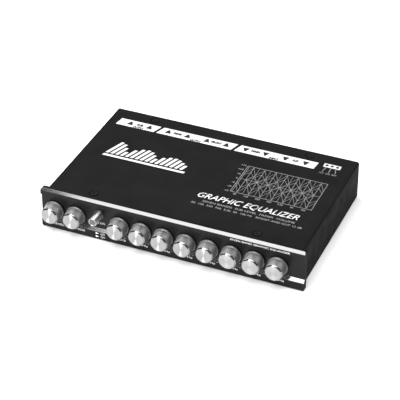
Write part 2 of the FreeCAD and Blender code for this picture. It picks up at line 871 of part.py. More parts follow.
def make_jacks():
    """Five stereo phono blocks, with their outer barrels and insulating inserts."""
    blocks = []
    for pair in range(5):
        middle = jack_x(2 * pair + 0.5)
        case = box(f"{middle} - block_width / 2", f"{middle} + block_width / 2",
                   f"{REAR_INSIDE} - block_depth", REAR_INSIDE,
                   BOARD_TOP, f"{BOARD_TOP} + block_height")
        collars = [
            rod("barrel_radius + 0.35", "sheet_gauge", jack_x(number), REAR_INSIDE, "jack_level")
            for number in (2 * pair, 2 * pair + 1)
        ]
        blocks.append(fuse(case, *collars))
    keep(group(*blocks), "jack_blocks")

    inside = "barrel_radius - barrel_wall"
    barrels = []
    inserts = []
    for number in range(10):
        x = jack_x(number)
        tube = rod("barrel_radius", "jack_reach", x, "case_depth", "jack_level")
        mouth = rod(inside, "jack_reach + 2", x, "case_depth - 1", "jack_level")
        barrels.append(cut(tube, mouth))
        plug = rod(f"{inside} - press_gap", "jack_reach - jack_insert_short", x, "case_depth",
                   "jack_level")
        pin_hole = rod("jack_pin_hole", "jack_reach", x, "case_depth + 0.4", "jack_level")
        inserts.append(cut(plug, pin_hole))
    keep(group(*barrels), "jack_barrels")
    keep(group(*inserts), "jack_insulators")


def make_power_inlet():
    """A three-way inlet: an open-ended housing with a key rib, and its three blades."""
    left = "inlet_x - inlet_width / 2"
    right = "inlet_x + inlet_width / 2"
    low = "inlet_level - inlet_height / 2"
    high = "inlet_level + inlet_height / 2"
    mouth = "(case_depth + inlet_proud)"
    floor = f"({mouth} - inlet_cavity)"
    shell = box(left, right, f"{mouth} - inlet_depth", mouth, low, high)
    cavity = box(f"{left} + inlet_wall", f"{right} - inlet_wall", floor, f"{mouth} + 1",
                 f"{low} + inlet_wall", f"{high} - inlet_wall")
    key = box("inlet_x - 2", "inlet_x + 2", floor, f"{mouth} + 1",
              f"{high} - inlet_wall - 0.5", f"{high} - inlet_wall / 2")
    keep(cut(shell, cavity, key), "power_socket")
    blades = [
        box(f"inlet_x + {step} * blade_pitch - 0.4", f"inlet_x + {step} * blade_pitch + 0.4",
            floor, f"{floor} + blade_reach", "inlet_level - 1.6", "inlet_level + 1.6")
        for step in (-1, 0, 1)
    ]
    keep(group(*blades), "power_pins")


# ---------------------------------------------------------------- the whole unit

make_front_panel()
make_bottom_tray()
make_top_cover()
make_cover_screws()
make_bracket()
make_panel_posts()
for control, number in CONTROL_PLACES.items():
    make_knob(f"knob_{control}", number)
    make_shaft(f"shaft_{control}", number)
    make_pot(f"pot_{control}", number)
make_pot_nuts()
make_pot_terminals()
make_button()
make_switch()
make_boards()
make_spacers()
make_headers()
make_chips()
make_capacitors()
make_supply()
make_jacks()
make_power_inlet()
doc.recompute()

for thing in doc.Objects:
    if "Invalid" in thing.State or "Error" in thing.State:
        raise RuntimeError(f"{thing.Name} ({thing.Label}) failed: {thing.State}")
for part in sub_parts:
    if part.Shape.isNull() or not part.Shape.isValid() or not part.Shape.Solids:
        raise RuntimeError(f"{part.Label} has no sound shape")

os.makedirs("parts", exist_ok=True)
for part in sub_parts:
    part.Shape.exportStep(f"parts/{part.Label}.step")
    print(f"{part.Label}: {len(part.Shape.Solids)} solid(s), {part.Shape.Volume:.1f} mm3")
print(f"{len(sub_parts)} sub-parts written")
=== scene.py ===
import json
import math

import bmesh
import bpy
from mathutils import Matrix, Vector


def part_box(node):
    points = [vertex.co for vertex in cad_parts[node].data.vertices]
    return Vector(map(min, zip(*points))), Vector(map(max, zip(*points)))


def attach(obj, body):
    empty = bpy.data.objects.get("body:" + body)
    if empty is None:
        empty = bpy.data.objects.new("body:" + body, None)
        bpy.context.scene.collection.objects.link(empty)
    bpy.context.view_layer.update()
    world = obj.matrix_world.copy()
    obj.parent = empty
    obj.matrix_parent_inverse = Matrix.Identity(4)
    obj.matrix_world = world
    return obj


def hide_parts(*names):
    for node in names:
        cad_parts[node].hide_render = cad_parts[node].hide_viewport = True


# The looks of a seven-band car equalizer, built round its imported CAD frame.
# Metres, +Z up, +X along the faceplate, -Y out of the faceplate towards the user.

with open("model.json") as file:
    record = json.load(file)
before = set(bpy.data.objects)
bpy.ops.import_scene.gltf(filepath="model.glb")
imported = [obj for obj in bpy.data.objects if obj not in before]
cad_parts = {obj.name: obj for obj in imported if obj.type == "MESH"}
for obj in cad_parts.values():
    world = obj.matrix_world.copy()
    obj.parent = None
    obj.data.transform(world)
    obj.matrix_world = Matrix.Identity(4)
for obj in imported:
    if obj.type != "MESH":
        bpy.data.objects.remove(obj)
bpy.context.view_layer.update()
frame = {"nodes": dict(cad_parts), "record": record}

MM = 0.001
ROOT = "chassis"
CONTROLS = ["sub_level", "fader", "volume"] + [f"band_{number}" for number in range(1, 8)]

panel_low, panel_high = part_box("front_panel")

# Planes that the printing lies on or is measured from: X and Y of a print are in millimetres
# from the middle of the faceplate's back plane, and its Z is the height above the table.
PANEL_BACK = panel_high.y
RAIL_FACE = panel_low.y
RECESS_FACE = RAIL_FACE + 1.5 * MM
COVER_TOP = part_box("top_cover")[1].z


# ---------------------------------------------------------------- meshes

def add_object(name, mesh, location=(0, 0, 0)):
    """A new object in the scene."""
    thing = bpy.data.objects.new(name, mesh)
    thing.location = location
    bpy.context.scene.collection.objects.link(thing)
    return thing


def mesh_from(name, build):
    """A mesh whose geometry a function adds to an empty bmesh."""
    work = bmesh.new()
    build(work)
    bmesh.ops.recalc_face_normals(work, faces=work.faces)
    mesh = bpy.data.meshes.new(name)
    work.to_mesh(mesh)
    work.free()
    return mesh


def add_prism(work, outline, low, high, axis="z"):
    """A closed prism of an outline between two places along an axis."""
    place = {
        "x": lambda a, b, c: (c, a, b),
        "y": lambda a, b, c: (a, c, b),
        "z": lambda a, b, c: (a, b, c),
    }[axis]
    lower = [work.verts.new(place(a, b, low)) for a, b in outline]
    upper = [work.verts.new(place(a, b, high)) for a, b in outline]
    work.faces.new(lower)
    work.faces.new(upper)
    for number in range(len(outline)):
        following = (number + 1) % len(outline)
        work.faces.new((lower[number], lower[following], upper[following], upper[number]))


def add_turned(work, profile, centre=(0, 0, 0), segments=96):
    """A solid turned about Y from (radius, distance) points, closed on the axis or as a ring."""
    centre = Vector(centre)

    def place(radius, angle, along):
        return Vector((radius * math.cos(angle), along, radius * math.sin(angle)))

    rings = []
    for radius, along in profile:
        if radius == 0:
            rings.append([work.verts.new(centre + place(0, 0, along))])
            continue
        rings.append([
            work.verts.new(centre + place(radius, math.tau * step / segments, along))
            for step in range(segments)
        ])
    pairs = list(zip(rings, rings[1:]))
    if len(rings[0]) > 1 and len(rings[-1]) > 1:
        pairs.append((rings[-1], rings[0]))
    for here, there in pairs:
        for step in range(segments):
            following = (step + 1) % segments
            corners = [here[step % len(here)], here[following % len(here)],
                       there[following % len(there)], there[step % len(there)]]
            work.faces.new(list(dict.fromkeys(corners)))


def rounded_profile(corners, steps=3):
    """A profile in metres from (radius, distance, rounding) corners in millimetres."""
    points = []
    for number, (radius, along, rounding) in enumerate(corners):
        here = Vector((radius, along)) * MM
        if not rounding:
            points.append(tuple(here))
            continue
        before = (Vector(corners[number - 1][:2]) * MM - here).normalized()
        after = (Vector(corners[(number + 1) % len(corners)][:2]) * MM - here).normalized()
        for step in range(steps + 1):
            share = step / steps
            reach = (before * (1 - share) ** 2 + after * share ** 2) * rounding * MM
            points.append(tuple(here + reach))
    return points


def round_corner(centre, radius, start, turn, steps=6):
    """Points of an arc, in degrees, for an outline."""
    return [
        (centre[0] + radius * math.cos(math.radians(start + turn * step / steps)),
         centre[1] + radius * math.sin(math.radians(start + turn * step / steps)))
        for step in range(steps + 1)
    ]


def rounded_rectangle(low_x, high_x, low_y, high_y, radius):
    """The outline of a rectangle with rounded corners."""
    return (
        round_corner((high_x - radius, high_y - radius), radius, 0, 90)
        + round_corner((low_x + radius, high_y - radius), radius, 90, 90)
        + round_corner((low_x + radius, low_y + radius), radius, 180, 90)
        + round_corner((high_x - radius, low_y + radius), radius, 270, 90)
    )


def apply_modifiers(thing):
    """Bakes an object's modifiers into its mesh."""
    bpy.context.view_layer.update()
    done = thing.evaluated_get(bpy.context.evaluated_depsgraph_get())
    mesh = bpy.data.meshes.new_from_object(done)
    thing.modifiers.clear()
    thing.data = mesh


def combine(thing, build, operation):
    """Joins or cuts an object with a solid that a function builds."""
    tool = add_object("tool", mesh_from("tool", build))
    step = thing.modifiers.new("combine", "BOOLEAN")
    step.operation = operation
    step.solver = "EXACT"
    step.object = tool
    apply_modifiers(thing)
    bpy.data.objects.remove(tool)


def soften(thing, width, angle=30, segments=3):
    """Rounds an object's sharp edges a little, as they are on the real piece, and shades it smooth."""
    edge = thing.modifiers.new("edge", "BEVEL")
    edge.width = width
    edge.segments = segments
    edge.limit_method = "ANGLE"
    edge.angle_limit = math.radians(angle)
    edge.harden_normals = True
    thing.data.shade_smooth()


def smooth(thing, angle):
    """Shades an object smooth, apart from the edges that turn by more than an angle."""
    thing.data.shade_smooth()
    thing.data.set_sharp_from_angle(angle=math.radians(angle))


def finish_piece(thing, body, materials, slot, *nodes):
    """Gives a piece its materials, hangs it on its body's empty, and hides the CAD parts that it takes
    the place of.
    """
    for material in materials:
        if material.name not in thing.data.materials:
            thing.data.materials.append(material)
    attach(thing, body)
    if nodes:
        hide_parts(*nodes)


# ---------------------------------------------------------------- materials

class Finish:
    """A material with its own node tree, and short calls for the nodes that the finishes share."""

    def __init__(self, name, color, roughness, metallic=0.0, specular=0.5):
        self.material = bpy.data.materials.new(name)
        self.material.use_nodes = True
        self.material.diffuse_color = (*color, 1)
        self.tree = self.material.node_tree
        self.surface = self.tree.nodes["Principled BSDF"]
        self.surface.inputs["Base Color"].default_value = (*color, 1)
        self.surface.inputs["Roughness"].default_value = roughness
        self.surface.inputs["Metallic"].default_value = metallic
        self.surface.inputs["Specular IOR Level"].default_value = specular
        self.where = self.tree.nodes.new("ShaderNodeTexCoord").outputs["Object"]

    def stretched(self, scale):
        """Object coordinates scaled by axis, for grain that runs one way."""
        mapping = self.tree.nodes.new("ShaderNodeMapping")
        mapping.inputs["Scale"].default_value = scale
        self.tree.links.new(self.where, mapping.inputs["Vector"])
        return mapping.outputs["Vector"]

    def noise(self, scale, detail=3.0, where=None):
        node = self.tree.nodes.new("ShaderNodeTexNoise")
        node.inputs["Scale"].default_value = scale
        node.inputs["Detail"].default_value = detail
        self.tree.links.new(where or self.where, node.inputs["Vector"])
        return node.outputs["Fac"]

    def rings(self, scale, distortion=0.0):
        """Fine rings about the Y axis, as a lathe leaves them."""
        node = self.tree.nodes.new("ShaderNodeTexWave")
        node.wave_type = "RINGS"
        node.rings_direction = "Y"
        node.inputs["Scale"].default_value = scale
        node.inputs["Distortion"].default_value = distortion
        self.tree.links.new(self.where, node.inputs["Vector"])
        return node.outputs["Fac"]

    def tint(self, source, dark, light):
        """A colour between two, driven by a texture."""
        ramp = self.tree.nodes.new("ShaderNodeValToRGB")
        ramp.color_ramp.elements[0].position = 0.3
        ramp.color_ramp.elements[0].color = (*dark, 1)
        ramp.color_ramp.elements[1].position = 0.7
        ramp.color_ramp.elements[1].color = (*light, 1)
        self.tree.links.new(source, ramp.inputs["Fac"])
        self.tree.links.new(ramp.outputs["Color"], self.surface.inputs["Base Color"])

    def rough(self, source, low, high):
        """A roughness between two limits, driven by a texture."""
        spread = self.tree.nodes.new("ShaderNodeMapRange")
        spread.inputs["From Min"].default_value = 0.3
        spread.inputs["From Max"].default_value = 0.7
        spread.inputs["To Min"].default_value = low
        spread.inputs["To Max"].default_value = high
        self.tree.links.new(source, spread.inputs["Value"])
        self.tree.links.new(spread.outputs["Result"], self.surface.inputs["Roughness"])

    def bump(self, source, distance, strength=1.0):
        node = self.tree.nodes.new("ShaderNodeBump")
        node.inputs["Distance"].default_value = distance
        node.inputs["Strength"].default_value = strength
        self.tree.links.new(source, node.inputs["Height"])
        self.tree.links.new(node.outputs["Normal"], self.surface.inputs["Normal"])

    def spun(self, amount):
        """Highlights drawn out round the Y axis, as on a spun face."""
        self.surface.inputs["Anisotropic"].default_value = amount
        self.surface.inputs["Anisotropic Rotation"].default_value = 0.25
        tangent = self.tree.nodes.new("ShaderNodeTangent")
        tangent.direction_type = "RADIAL"
        tangent.axis = "Y"
        self.tree.links.new(tangent.outputs["Tangent"], self.surface.inputs["Tangent"])


def powder_coat(name, shade, roughness=0.52):
    """Fine-textured matt paint, slightly uneven in gloss."""
    finish = Finish(name, (shade, shade, shade * 1.03), roughness, specular=0.01)
    finish.tint(finish.noise(60, 4), (shade * 0.88,) * 3, (shade * 1.12,) * 3)
    finish.rough(finish.noise(140, 5), roughness - 0.07, roughness + 0.08)
    finish.bump(finish.noise(2600, 2), 0.03 * MM, 0.55)
    return finish.material


def anodised_black(name, specular):
    """Satin black anodising over a fine grain that runs along the extrusion."""
    finish = Finish(name, (0.005, 0.005, 0.0055), 0.34, specular=specular)
    grain = finish.noise(420, 4, finish.stretched((0.06, 3.0, 3.0)))
    finish.tint(finish.noise(45, 3), (0.004, 0.004, 0.0044), (0.006, 0.006, 0.0065))
    finish.rough(grain, 0.27, 0.42)
    finish.bump(grain, 0.008 * MM, 0.5)
    return finish.material


def polished_cut(name):
    """A diamond-cut bevel: bright metal with fine lines along the cut."""
    finish = Finish(name, (0.16, 0.16, 0.16), 0.1, metallic=1.0)
    lines = finish.noise(900, 3, finish.stretched((0.02, 2.0, 2.0)))
    finish.rough(lines, 0.07, 0.16)
    finish.bump(lines, 0.003 * MM, 0.4)
    return finish.material


def turned_metal(name, shade, low, high):
    """Satin anodised aluminium with the fine rings of the lathe."""
    finish = Finish(name, (shade, shade, shade * 1.02), low, metallic=1.0)
    finish.tint(finish.noise(300, 4), (shade * 0.94,) * 3, (shade, shade, shade * 1.02))
    finish.rough(finish.noise(500, 4, finish.stretched((1, 14, 1))), low, high)
    finish.bump(finish.rings(2600, 0.4), 0.003 * MM, 0.35)
    return finish


def turned_side(name):
    """The knurled side of a knob."""
    finish = turned_metal(name, 0.3, 0.42, 0.52)
    finish.spun(0.4)
    return finish.material


def spun_face(name, pull, low, high):
    """A lathe-faced end: the stronger the pull, the narrower its bright fan."""
    finish = turned_metal(name, 0.3, low, high)
    finish.spun(pull)
    return finish.material


def cut_chamfer(name):
    """A chamfer cut bright after anodising."""
    finish = Finish(name, (0.24, 0.24, 0.24), 0.1, metallic=1.0)
    finish.rough(finish.noise(350, 5), 0.08, 0.15)
    finish.bump(finish.noise(700, 3), 0.002 * MM, 0.3)
    return finish.material


def turned_plate(name):
    """Bright plate over fine turning marks, which draw its highlights out along the barrel."""
    finish = Finish(name, (0.42, 0.42, 0.42), 0.4, metallic=1.0)
    finish.rough(finish.noise(350, 5), 0.36, 0.44)
    finish.bump(finish.noise(700, 3), 0.002 * MM, 0.3)
    finish.spun(0.85)
    return finish.material


def printed_ink(name, shade):
    """Screen-printed ink: slightly uneven, a little rough."""
    finish = Finish(name, (shade,) * 3, 0.5, specular=0.3)
    finish.tint(finish.noise(500, 4), (shade * 0.9,) * 3, (shade,) * 3)
    finish.bump(finish.noise(3000, 2), 0.01 * MM, 0.4)
    return finish.material


def metal(name, color, low, high):
    """Plated or bare metal parts, with a faint mottle."""
    finish = Finish(name, color, low, metallic=1.0)
    finish.tint(finish.noise(250, 5), tuple(0.82 * part for part in color), color)
    finish.rough(finish.noise(600, 4), low, high)
    finish.bump(finish.noise(1800, 3), 0.004 * MM, 0.4)
    return finish.material


def plastic(name, color, low, high, specular=0.5):
    """Moulded plastic with a light spark-eroded texture."""
    finish = Finish(name, color, low, specular=specular)
    finish.tint(finish.noise(120, 4), tuple(0.85 * part for part in color), color)
    finish.rough(finish.noise(400, 4), low, high)
    finish.bump(finish.noise(2400, 3), 0.01 * MM, 0.4)
    return finish.material


case_paint = powder_coat("case_paint", 0.0098)
tray_paint = powder_coat("tray_paint", 0.0105, 0.56)
panel_black = anodised_black("panel_black", 0.13)
panel_end_black = anodised_black("panel_end_black", 0.01)
bevel_cut = polished_cut("bevel_cut")
knob_side = turned_side("knob_side")
knob_face = spun_face("knob_face", 0.84, 0.36, 0.4)
matt_knob_face = spun_face("matt_knob_face", 0.45, 0.46, 0.52)
knob_chamfer = cut_chamfer("knob_chamfer")
button_chrome = turned_plate("button_chrome")
button_ring = metal("button_ring", (0.1, 0.1, 0.1), 0.3, 0.4)
button_dish = metal("button_dish", (0.12, 0.12, 0.125), 0.34, 0.44)
panel_ink = printed_ink("panel_ink", 0.6)
white_ink = printed_ink("white_ink", 0.62)
grey_ink = printed_ink("grey_ink", 0.26)
black_ink = printed_ink("black_ink", 0.012)
screw_black = metal("screw_black", (0.1, 0.1, 0.103), 0.22, 0.34)
plated_steel = metal("plated_steel", (0.6, 0.6, 0.58), 0.25, 0.42)
nickel = metal("nickel", (0.76, 0.73, 0.68), 0.1, 0.2)
brass = metal("tinned_brass", (0.72, 0.66, 0.5), 0.2, 0.35)
bare_metal = metal("bare_metal", (0.74, 0.74, 0.75), 0.25, 0.4)
black_plastic = plastic("black_plastic", (0.022, 0.022, 0.024), 0.4, 0.52)
socket_white = plastic("socket_white", (0.78, 0.77, 0.73), 0.32, 0.45)
socket_red = plastic("socket_red", (0.5, 0.02, 0.018), 0.32, 0.45)
board_green = plastic("board_green", (0.02, 0.13, 0.06), 0.3, 0.42)
film_red = plastic("film_red", (0.42, 0.07, 0.04), 0.25, 0.35)
sleeve_blue = plastic("sleeve_blue", (0.03, 0.04, 0.12), 0.3, 0.4)
core_green = plastic("core_green", (0.1, 0.22, 0.14), 0.4, 0.55)

# Every record slot's finish, for the CAD parts that show as they are.
SLOT_FINISH = {
    "case_paint": case_paint,
    "panel_black": panel_black,
    "turned_aluminium": knob_side,
    "bare_aluminium": bare_metal,
    "bright_chrome": button_chrome,
    "black_steel": screw_black,
    "plated_steel": plated_steel,
    "tinned_brass": brass,
    "nickel_plate": nickel,
    "white_plastic": socket_white,
    "black_plastic": black_plastic,
    "board_green": board_green,
    "capacitor_red": film_red,
    "capacitor_sleeve": sleeve_blue,
    "ferrite_green": core_green,
}


def dress_cad_nodes():
    """Gives every carried-over CAD part its slot's finish, the tray its own paint, and the cover, tray,
    cover screws and power socket slightly rounded edges.
    """
    for entry in frame["record"]["subparts"]:
        part = frame["nodes"][entry["node"]]
        finish = SLOT_FINISH[entry["material_slot"]]
        part.data.materials.clear()
        part.data.materials.append(finish)
    frame["nodes"]["bottom_tray"].data.materials[0] = tray_paint
    for node in ("top_cover", "bottom_tray", "cover_screws", "power_socket"):
        soften(frame["nodes"][node], 0.12 * MM)


# ---------------------------------------------------------------- faceplate

def panel_section():
    """The faceplate's section as (y, z) corners, from the back plane round the front."""
    top = panel_high.z
    foot = panel_low.z
    bevel_depth = 2.2 * MM
    bevel_height = 1.0 * MM
    foot_chamfer = 0.8 * MM
    upper_rail = foot + 24.7 * MM
    recess_top = foot + 23.9 * MM
    recess_foot = foot + 8.3 * MM
    lower_rail = foot + 6.3 * MM
    return [
        (PANEL_BACK, foot),
        (PANEL_BACK, top),
        (RAIL_FACE + bevel_depth, top),
        (RAIL_FACE, top - bevel_height),
        (RAIL_FACE, upper_rail),
        (RECESS_FACE, recess_top),
        (RECESS_FACE, recess_foot),
        (RAIL_FACE, lower_rail),
        (RAIL_FACE, foot + foot_chamfer),
        (RAIL_FACE + foot_chamfer, foot),
    ]


def control_centre(node):
    """The middle of a control's box."""
    low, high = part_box(node)
    return (low + high) / 2


def make_faceplate():
    """The extruded bar with rounded ends, its holes, and the two bright bevels."""
    bar = mesh_from("faceplate", lambda work: add_prism(
        work, panel_section(), panel_low.x, panel_high.x, "x"))
    panel = add_object("faceplate", bar)
    corner = 1.1 * MM
    ends = rounded_rectangle(panel_low.x, panel_high.x, panel_low.z, panel_high.z, corner)
    combine(panel, lambda work: add_prism(
        work, ends, panel_low.y - 5 * MM, panel_high.y + 5 * MM, "y"), "INTERSECT")

    def bores(work):
        reach = (panel_low.y - 2 * MM, panel_high.y + 2 * MM)
        holes = [(f"knob_{control}", 3.9 * MM) for control in CONTROLS] + [("button_ring", 3 * MM)]
        for node, radius in holes:
            centre = control_centre(node)
            add_turned(work, [(0, reach[0]), (radius, reach[0]), (radius, reach[1]), (0, reach[1])],
                       (centre.x, 0, centre.z))

    combine(panel, bores, "DIFFERENCE")
    panel.data.materials.clear()
    panel.data.materials.append(panel_black)
    panel.data.materials.append(bevel_cut)
    panel.data.materials.append(panel_end_black)
    for face in panel.data.polygons:
        normal = face.normal
        if abs(normal.x) < 0.01 and normal.y < -0.1 and normal.z > 0.1:
            face.material_index = 1
        elif abs(normal.x) > 0.2 and abs(face.center.x) > panel_high.x - 2 * MM:
            face.material_index = 2
    soften(panel, 0.07 * MM, 20)
    finish_piece(panel, ROOT, [], "panel_black", "front_panel")


# ---------------------------------------------------------------- controls

# Depth of the knurl's grooves.
KNURL = 0.11 * MM

# The last knobs' ends are blasted, so they show no bright fan.
MATT_KNOBS = ("band_5", "band_6", "band_7")


def make_knob(control):
    """A turned knob with a rear flange, a tapered knurled body, a groove and a bevelled face."""
    node = f"knob_{control}"
    low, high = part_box(node)
    centre = control_centre(node)
    flange = (high.x - low.x) / 2 / MM
    length = (high.y - low.y) / MM
    groove = flange - 1.15
    rim = flange - 0.78
    profile = rounded_profile([
        (0, 0, 0),
        (flange, 0, 0.16),
        (flange, -1.1, 0.1),
        (flange - 0.36, -1.1, 0),
        (flange - 0.36, -1.4, 0),
        (flange - 0.22, -1.4, 0.1),
        (flange - 0.8, -length + 1.45, 0.1),
        (groove, -length + 1.38, 0.08),
        (groove, -length + 0.98, 0.08),
        (rim, -length + 0.9, 0.08),
        (rim, -length + 0.74, 0.04),
        (flange - 1.5, -length, 0.06),
        (flange * 0.4, -length + 0.1, 0),
        (0, -length + 0.12, 0),
    ])
    segments = 144
    mesh = mesh_from(node, lambda work: add_turned(work, profile, segments=segments))
    for vertex in mesh.vertices:
        across, along, up = vertex.co
        step = round(math.atan2(up, across) / math.tau * segments)
        if step % 2 and -length + 1.5 < along / MM < -1.45:
            share = 1 - KNURL / math.hypot(across, up)
            vertex.co = (across * share, along, up * share)
    mesh.materials.append(knob_side)
    mesh.materials.append(matt_knob_face if control in MATT_KNOBS else knob_face)
    mesh.materials.append(knob_chamfer)
    for face in mesh.polygons:
        from_face = length + face.center.y / MM
        if from_face < 0.2 and face.normal.y < -0.9:
            face.material_index = 1
        elif from_face < 0.6 and face.normal.y < -0.5:
            face.material_index = 2
    knob = add_object(f"turned_{node}", mesh, (centre.x, high.y, centre.z))
    smooth(knob, 24)
    finish_piece(knob, control, [], "turned_aluminium", node)


def make_button():
    """The push button: a bright barrel with a ring at its front round a dished grey face."""
    low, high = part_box("button_sub_on")
    centre = control_centre("button_sub_on")
    barrel = 2.75
    length = (high.y - low.y) / MM
    profile = rounded_profile([
        (0, 0, 0),
        (3.5, 0, 0),
        (3.5, -0.6, 0),
        (barrel, -0.6, 0),
        (barrel, -length + 1.42, 0.08),
        (barrel - 0.22, -length + 1.35, 0.05),
        (barrel - 0.22, -length + 1.05, 0.05),
        (barrel, -length + 0.98, 0.08),
        (barrel, -length, 0.28),
        (barrel - 0.5, -length, 0.2),
        (barrel - 0.6, -length + 0.3, 0.08),
        (barrel * 0.4, -length + 0.42, 0),
        (0, -length + 0.46, 0),
    ])
    mesh = mesh_from("push_button", lambda work: add_turned(work, profile, segments=96))
    mesh.materials.append(button_chrome)
    mesh.materials.append(button_dish)
    for face in mesh.polygons:
        radius = math.hypot(face.center.x, face.center.z) / MM
        if length + face.center.y / MM < 0.5 and radius < barrel - 0.55:
            face.material_index = 1
    button = add_object("push_button", mesh, (centre.x, high.y, centre.z))
    smooth(button, 28)
    finish_piece(button, "sub_button", [], "bright_chrome", "button_sub_on")


def make_button_trim():
    """The dark metal ring round the button's hole."""
    low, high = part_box("button_ring")
    centre = control_centre("button_ring")
    bore = 3.0
    outer = (high.x - low.x) / 2 / MM
    depth = (high.y - low.y) / MM
    profile = rounded_profile([
        (bore, 0, 0),
        (outer, 0, 0),
        (outer, -depth, depth * 0.45),
        (bore, -depth, depth * 0.2),
    ])
    mesh = mesh_from("button_trim", lambda work: add_turned(work, profile, segments=96))
    trim = add_object("button_trim", mesh, (centre.x, high.y, centre.z))
    smooth(trim, 28)
    finish_piece(trim, ROOT, [button_ring], "bright_chrome", "button_ring")


# ---------------------------------------------------------------- printing

# Thickness of the ink, and a third of it again is sunk into the face.
INK = 0.03 * MM

# Height of a capital letter in the built-in font at size 1.
FONT_CAP = 0.695


class Print:
    """Ink on a flat face. Its shapes are drawn in the face's own plane, in millimetres."""

    def __init__(self, name, across, up, out, origin):
        self.name = name
        self.matrix = Matrix((across, up, out)).transposed().to_4x4()
        self.matrix.translation = origin
        self.work = bmesh.new()
        self.lift = 0.0

    def area(self, outline):
        """A filled area inside an outline."""
        add_prism(self.work, [(a * MM, b * MM) for a, b in outline],
                  self.lift - INK / 3, self.lift + INK)

    def line(self, points, width, closed=False):
        """A line of even width through some points."""
        path = [Vector((a * MM, b * MM)) for a, b in points]
        count = len(path)
        rows = []
        for number, here in enumerate(path):
            before = path[number - 1] if number or closed else here
            after = path[(number + 1) % count] if number < count - 1 or closed else here
            arrive = (here - before).normalized() if before != here else (after - here).normalized()
            leave = (after - here).normalized() if after != here else arrive
            middle = (arrive + leave).normalized()
            side = Vector((-middle.y, middle.x)) * width * MM / 2 / max(0.4, middle.dot(arrive))
            rows.append([
                self.work.verts.new((*(here + side * sign), height))
                for sign, height in ((1, self.lift - INK / 3), (1, self.lift + INK),
                                     (-1, self.lift + INK), (-1, self.lift - INK / 3))
            ])
        pairs = list(zip(rows, rows[1:]))
        if closed:
            pairs.append((rows[-1], rows[0]))
        for here, there in pairs:
            for corner in range(4):
                following = (corner + 1) % 4
                self.work.faces.new((here[corner], here[following], there[following], there[corner]))
        if not closed:
            self.work.faces.new(rows[0])
            self.work.faces.new(rows[-1])

    def text(self, words, left, base, height, width=None, lean=0.0, weight=0.0, align="LEFT"):
        """Plain lettering with its left end, centre or right end at a point."""
        curve = bpy.data.curves.new("words", "FONT")
        curve.body = words
        curve.size = 1.0
        curve.shear = lean
        curve.offset = weight
        curve.resolution_u = 4
        letters = bpy.data.objects.new("words", curve)
        bpy.context.scene.collection.objects.link(letters)
        bpy.context.view_layer.update()
        flat = bpy.data.meshes.new_from_object(
            letters.evaluated_get(bpy.context.evaluated_depsgraph_get()))
        bpy.data.objects.remove(letters)
        xs = [corner.co.x for corner in flat.vertices]
        scale_up = height * MM / FONT_CAP
        span = max(xs) - min(xs)
        scale_across = width * MM / span if width else scale_up
        shift = {"LEFT": 0.0, "CENTER": -0.5, "RIGHT": -1.0}[align] * span * scale_across
        shape = bmesh.new()
        shape.from_mesh(flat)
        bmesh.ops.remove_doubles(shape, verts=shape.verts, dist=1e-6)
        for corner in shape.verts:
            corner.co.x = (corner.co.x - min(xs)) * scale_across + shift + left * MM
            corner.co.y = corner.co.y * scale_up + base * MM
            corner.co.z = self.lift - INK / 3
        grown = bmesh.ops.extrude_face_region(shape, geom=shape.faces[:], use_keep_orig=True)
        for item in grown["geom"]:
            if isinstance(item, bmesh.types.BMVert):
                item.co.z = self.lift + INK
        solid = bpy.data.meshes.new("letters")
        shape.to_mesh(solid)
        shape.free()
        self.work.from_mesh(solid)

    def finish(self, ink, body, slot):
        """Turns the drawing into a piece."""
        bmesh.ops.recalc_face_normals(self.work, faces=self.work.faces)
        self.work.transform(self.matrix)
        mesh = bpy.data.meshes.new(self.name)
        self.work.to_mesh(mesh)
        self.work.free()
        finish_piece(add_object(self.name, mesh), body, [ink], slot)


# Frequencies of the seven bands, and the decibel scale of the graph.
BANDS = ["50", "125", "320", "750", "2.2k", "6k", "16k"]
LEVELS = ["+15", "+10", "+5", "0", "-5", "-10", "-15"]

# Place of the graph on the cover, in millimetres.
GRAPH_LEFT = 21.7
GRAPH_RIGHT = 76.2
GRAPH_LOW = 42.3
GRAPH_HIGH = 73.4
BAND_FIRST = 26.1
BAND_PITCH = 7.7


def draw_graph(ink):
    """The response graph: a frame, a line for each band, and its boost and cut curves."""
    ink.line([(GRAPH_LEFT, GRAPH_LOW), (GRAPH_RIGHT, GRAPH_LOW), (GRAPH_RIGHT, GRAPH_HIGH),
              (GRAPH_LEFT, GRAPH_HIGH)], 0.28, closed=True)
    ink.line([(GRAPH_LEFT + 1.1, GRAPH_LOW), (GRAPH_LEFT + 1.1, GRAPH_HIGH)], 0.24)
    middle = (GRAPH_LOW + GRAPH_HIGH) / 2
    half = (GRAPH_HIGH - GRAPH_LOW) / 2
    steps = 24
    ink.line([(GRAPH_LEFT, middle), (GRAPH_RIGHT, middle)], 0.2)
    for band, label in enumerate(BANDS):
        centre = BAND_FIRST + BAND_PITCH * band
        ink.line([(centre, GRAPH_LOW), (centre, GRAPH_HIGH)], 0.24)
        between = centre + BAND_PITCH / 2
        if between < GRAPH_RIGHT - 1:
            ink.line([(between, GRAPH_LOW), (between, GRAPH_HIGH)], 0.16)
        for gain in (-0.95, -0.6, 0.6, 0.95):
            curve = []
            for step in range(-steps, steps + 1):
                away = step / steps
                across = centre + BAND_PITCH * away
                if GRAPH_LEFT < across < GRAPH_RIGHT:
                    curve.append((across, middle + half * gain * (1 - abs(away)) ** 1.15))
            ink.line(curve, 0.17)
        ink.text(label, centre - 0.6, GRAPH_LOW - 2.6, 1.5, align="CENTER", weight=0.01)
    for number, level in enumerate(LEVELS):
        height = GRAPH_HIGH - (GRAPH_HIGH - GRAPH_LOW) * number / (len(LEVELS) - 1)
        ink.text(level, GRAPH_LEFT - 1.2, height - 0.8, 1.6, align="RIGHT", weight=0.01)


